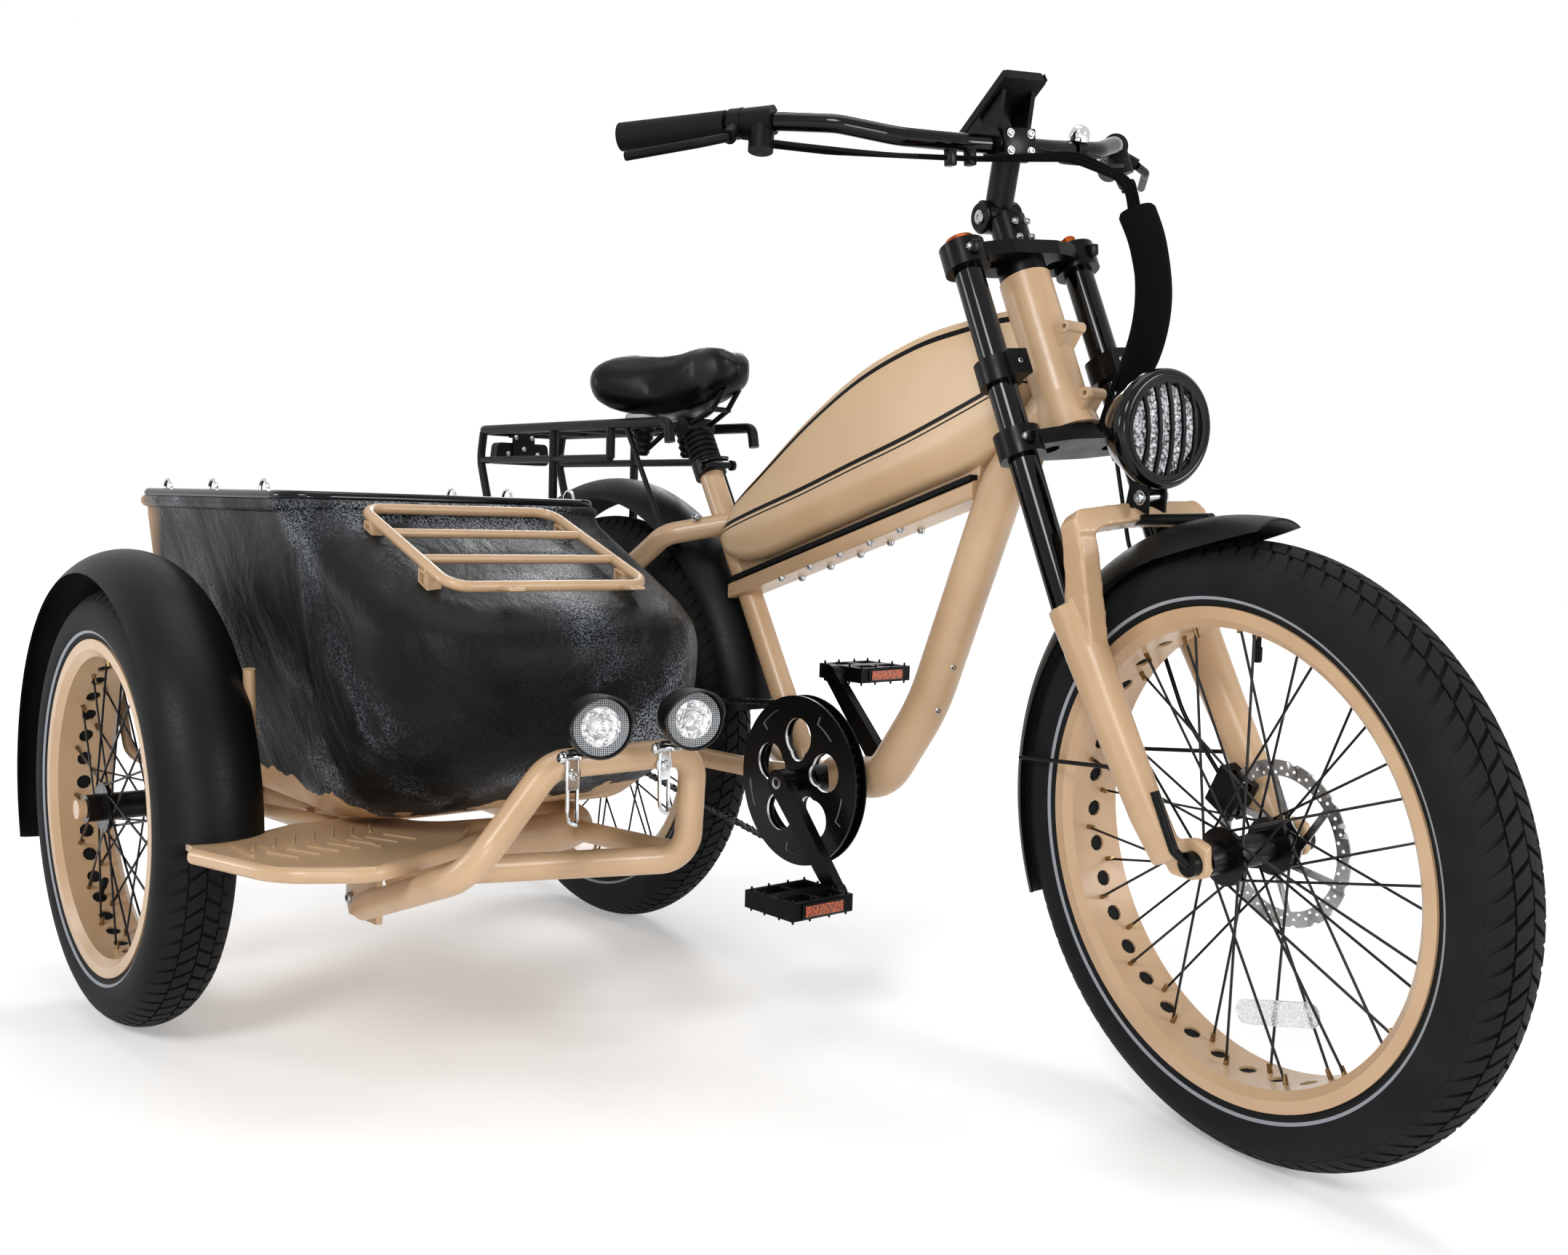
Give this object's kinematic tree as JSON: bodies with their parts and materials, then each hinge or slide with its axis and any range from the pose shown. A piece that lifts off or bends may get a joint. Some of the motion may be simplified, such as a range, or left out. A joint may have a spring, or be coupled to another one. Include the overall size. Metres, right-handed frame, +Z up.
{
  "type": "sidecar electric bicycle",
  "caption": "Fat-tyre electric bicycle with an arched tank frame, a double-crown fork and a hollow tub sidecar on its right side.",
  "frame": {"origin": "centre of the footprint on the ground under the bounding box", "axes": "+X forward, +Y to the rider's left, +Z up"},
  "size_m": [1.8537, 1.2953, 1.1975],
  "materials": {
    "tan_paint": "satin",
    "tan_rim": "satin",
    "black_paint": "satin",
    "tyre_rubber": "matte",
    "black_spokes": "gloss",
    "steel": "brushed",
    "chain_steel": "dark",
    "black_plastic": "matte",
    "soft_rubber": "matte",
    "saddle_cover": "smooth artificial leather",
    "pod_shell": "speckled satin",
    "lens": "clear"
  },
  "bodies": {
    "frame": {"bullet_lamps": "black_plastic", "bumper": "tan_paint", "chain": "chain_steel", "frame_tubes": "tan_paint", "lamp_brackets": "steel", "luggage_rack": "tan_paint", "pod": "pod_shell", "pod_latch": "black_paint", "pod_loops": "steel", "pod_rim": "pod_shell", "rear_axle": "steel", "rear_caliper": "black_paint", "rear_fender": "black_paint", "rear_rack": "black_paint", "saddle": "saddle_cover", "saddle_springs": "black_paint", "seat_clamp": "black_paint", "seatpost": "chain_steel", "seatpost_boot": "soft_rubber", "sidecar_axle": "black_paint", "sidecar_chassis": "tan_paint", "sidecar_fender": "black_paint", "step": "tan_paint", "tail_light": "black_plastic", "tank": "tan_paint", "tank_rail": "tan_paint"},
    "fork": {"fork_crowns": "black_paint", "fork_stanchions": "black_paint", "fork_collars": "black_paint", "fork_legs": "tan_paint", "front_axle": "steel", "front_fender": "black_paint", "front_caliper": "black_paint", "handlebar": "black_paint", "grips": "soft_rubber", "bar_controls": "black_plastic", "stem": "black_paint", "display": "black_plastic", "headlight": "black_paint", "headlight_grille": "black_paint", "headlight_lens": "lens", "cable_sleeve": "soft_rubber"},
    "front_wheel": {"front_tyre": "tyre_rubber", "front_rim": "tan_rim", "front_hub_spokes": "black_spokes", "front_rotor": "steel"},
    "rear_wheel": {"rear_tyre": "tyre_rubber", "rear_rim": "tan_rim", "rear_hub_spokes": "black_spokes", "rear_rotor": "steel"},
    "side_wheel": {"side_tyre": "tyre_rubber", "side_rim": "tan_rim", "side_hub_spokes": "black_spokes"},
    "cranks": {"crankset": "black_paint", "chainring": "black_paint"},
    "pedal_right": {"pedal_right": "black_plastic"},
    "pedal_left": {"pedal_left": "black_plastic"}
  },
  "joints": [
    {"name": "steering", "type": "hinge", "parent": "frame", "child": "fork", "pos_m": [0.54197, 0.215, 0.29829], "axis": [-0.3987, 0, 0.9171], "range_deg": [-23.1, 46.9]},
    {"name": "front_wheel_spin", "type": "hinge", "parent": "fork", "child": "front_wheel", "pos_m": [0.60658, 0.20015, 0.32638], "axis": [0.1891, 0.9785, 0.0822], "continuous": true},
    {"name": "rear_wheel_spin", "type": "hinge", "parent": "frame", "child": "rear_wheel", "pos_m": [-0.59, 0.215, 0.327], "axis": [0, 1, 0], "continuous": true},
    {"name": "side_wheel_spin", "type": "hinge", "parent": "frame", "child": "side_wheel", "pos_m": [-0.492, -0.585, 0.276], "axis": [0, 1, 0], "continuous": true},
    {"name": "crank_spin", "type": "hinge", "parent": "frame", "child": "cranks", "pos_m": [-0.05, 0.215, 0.306], "axis": [0, 1, 0], "continuous": true},
    {"name": "right_pedal_spin", "type": "hinge", "parent": "cranks", "child": "pedal_right", "pos_m": [0.0673, 0.06, 0.18021], "axis": [0, 1, 0], "continuous": true},
    {"name": "left_pedal_spin", "type": "hinge", "parent": "cranks", "child": "pedal_left", "pos_m": [-0.1673, 0.37, 0.43179], "axis": [0, 1, 0], "continuous": true}
  ]
}
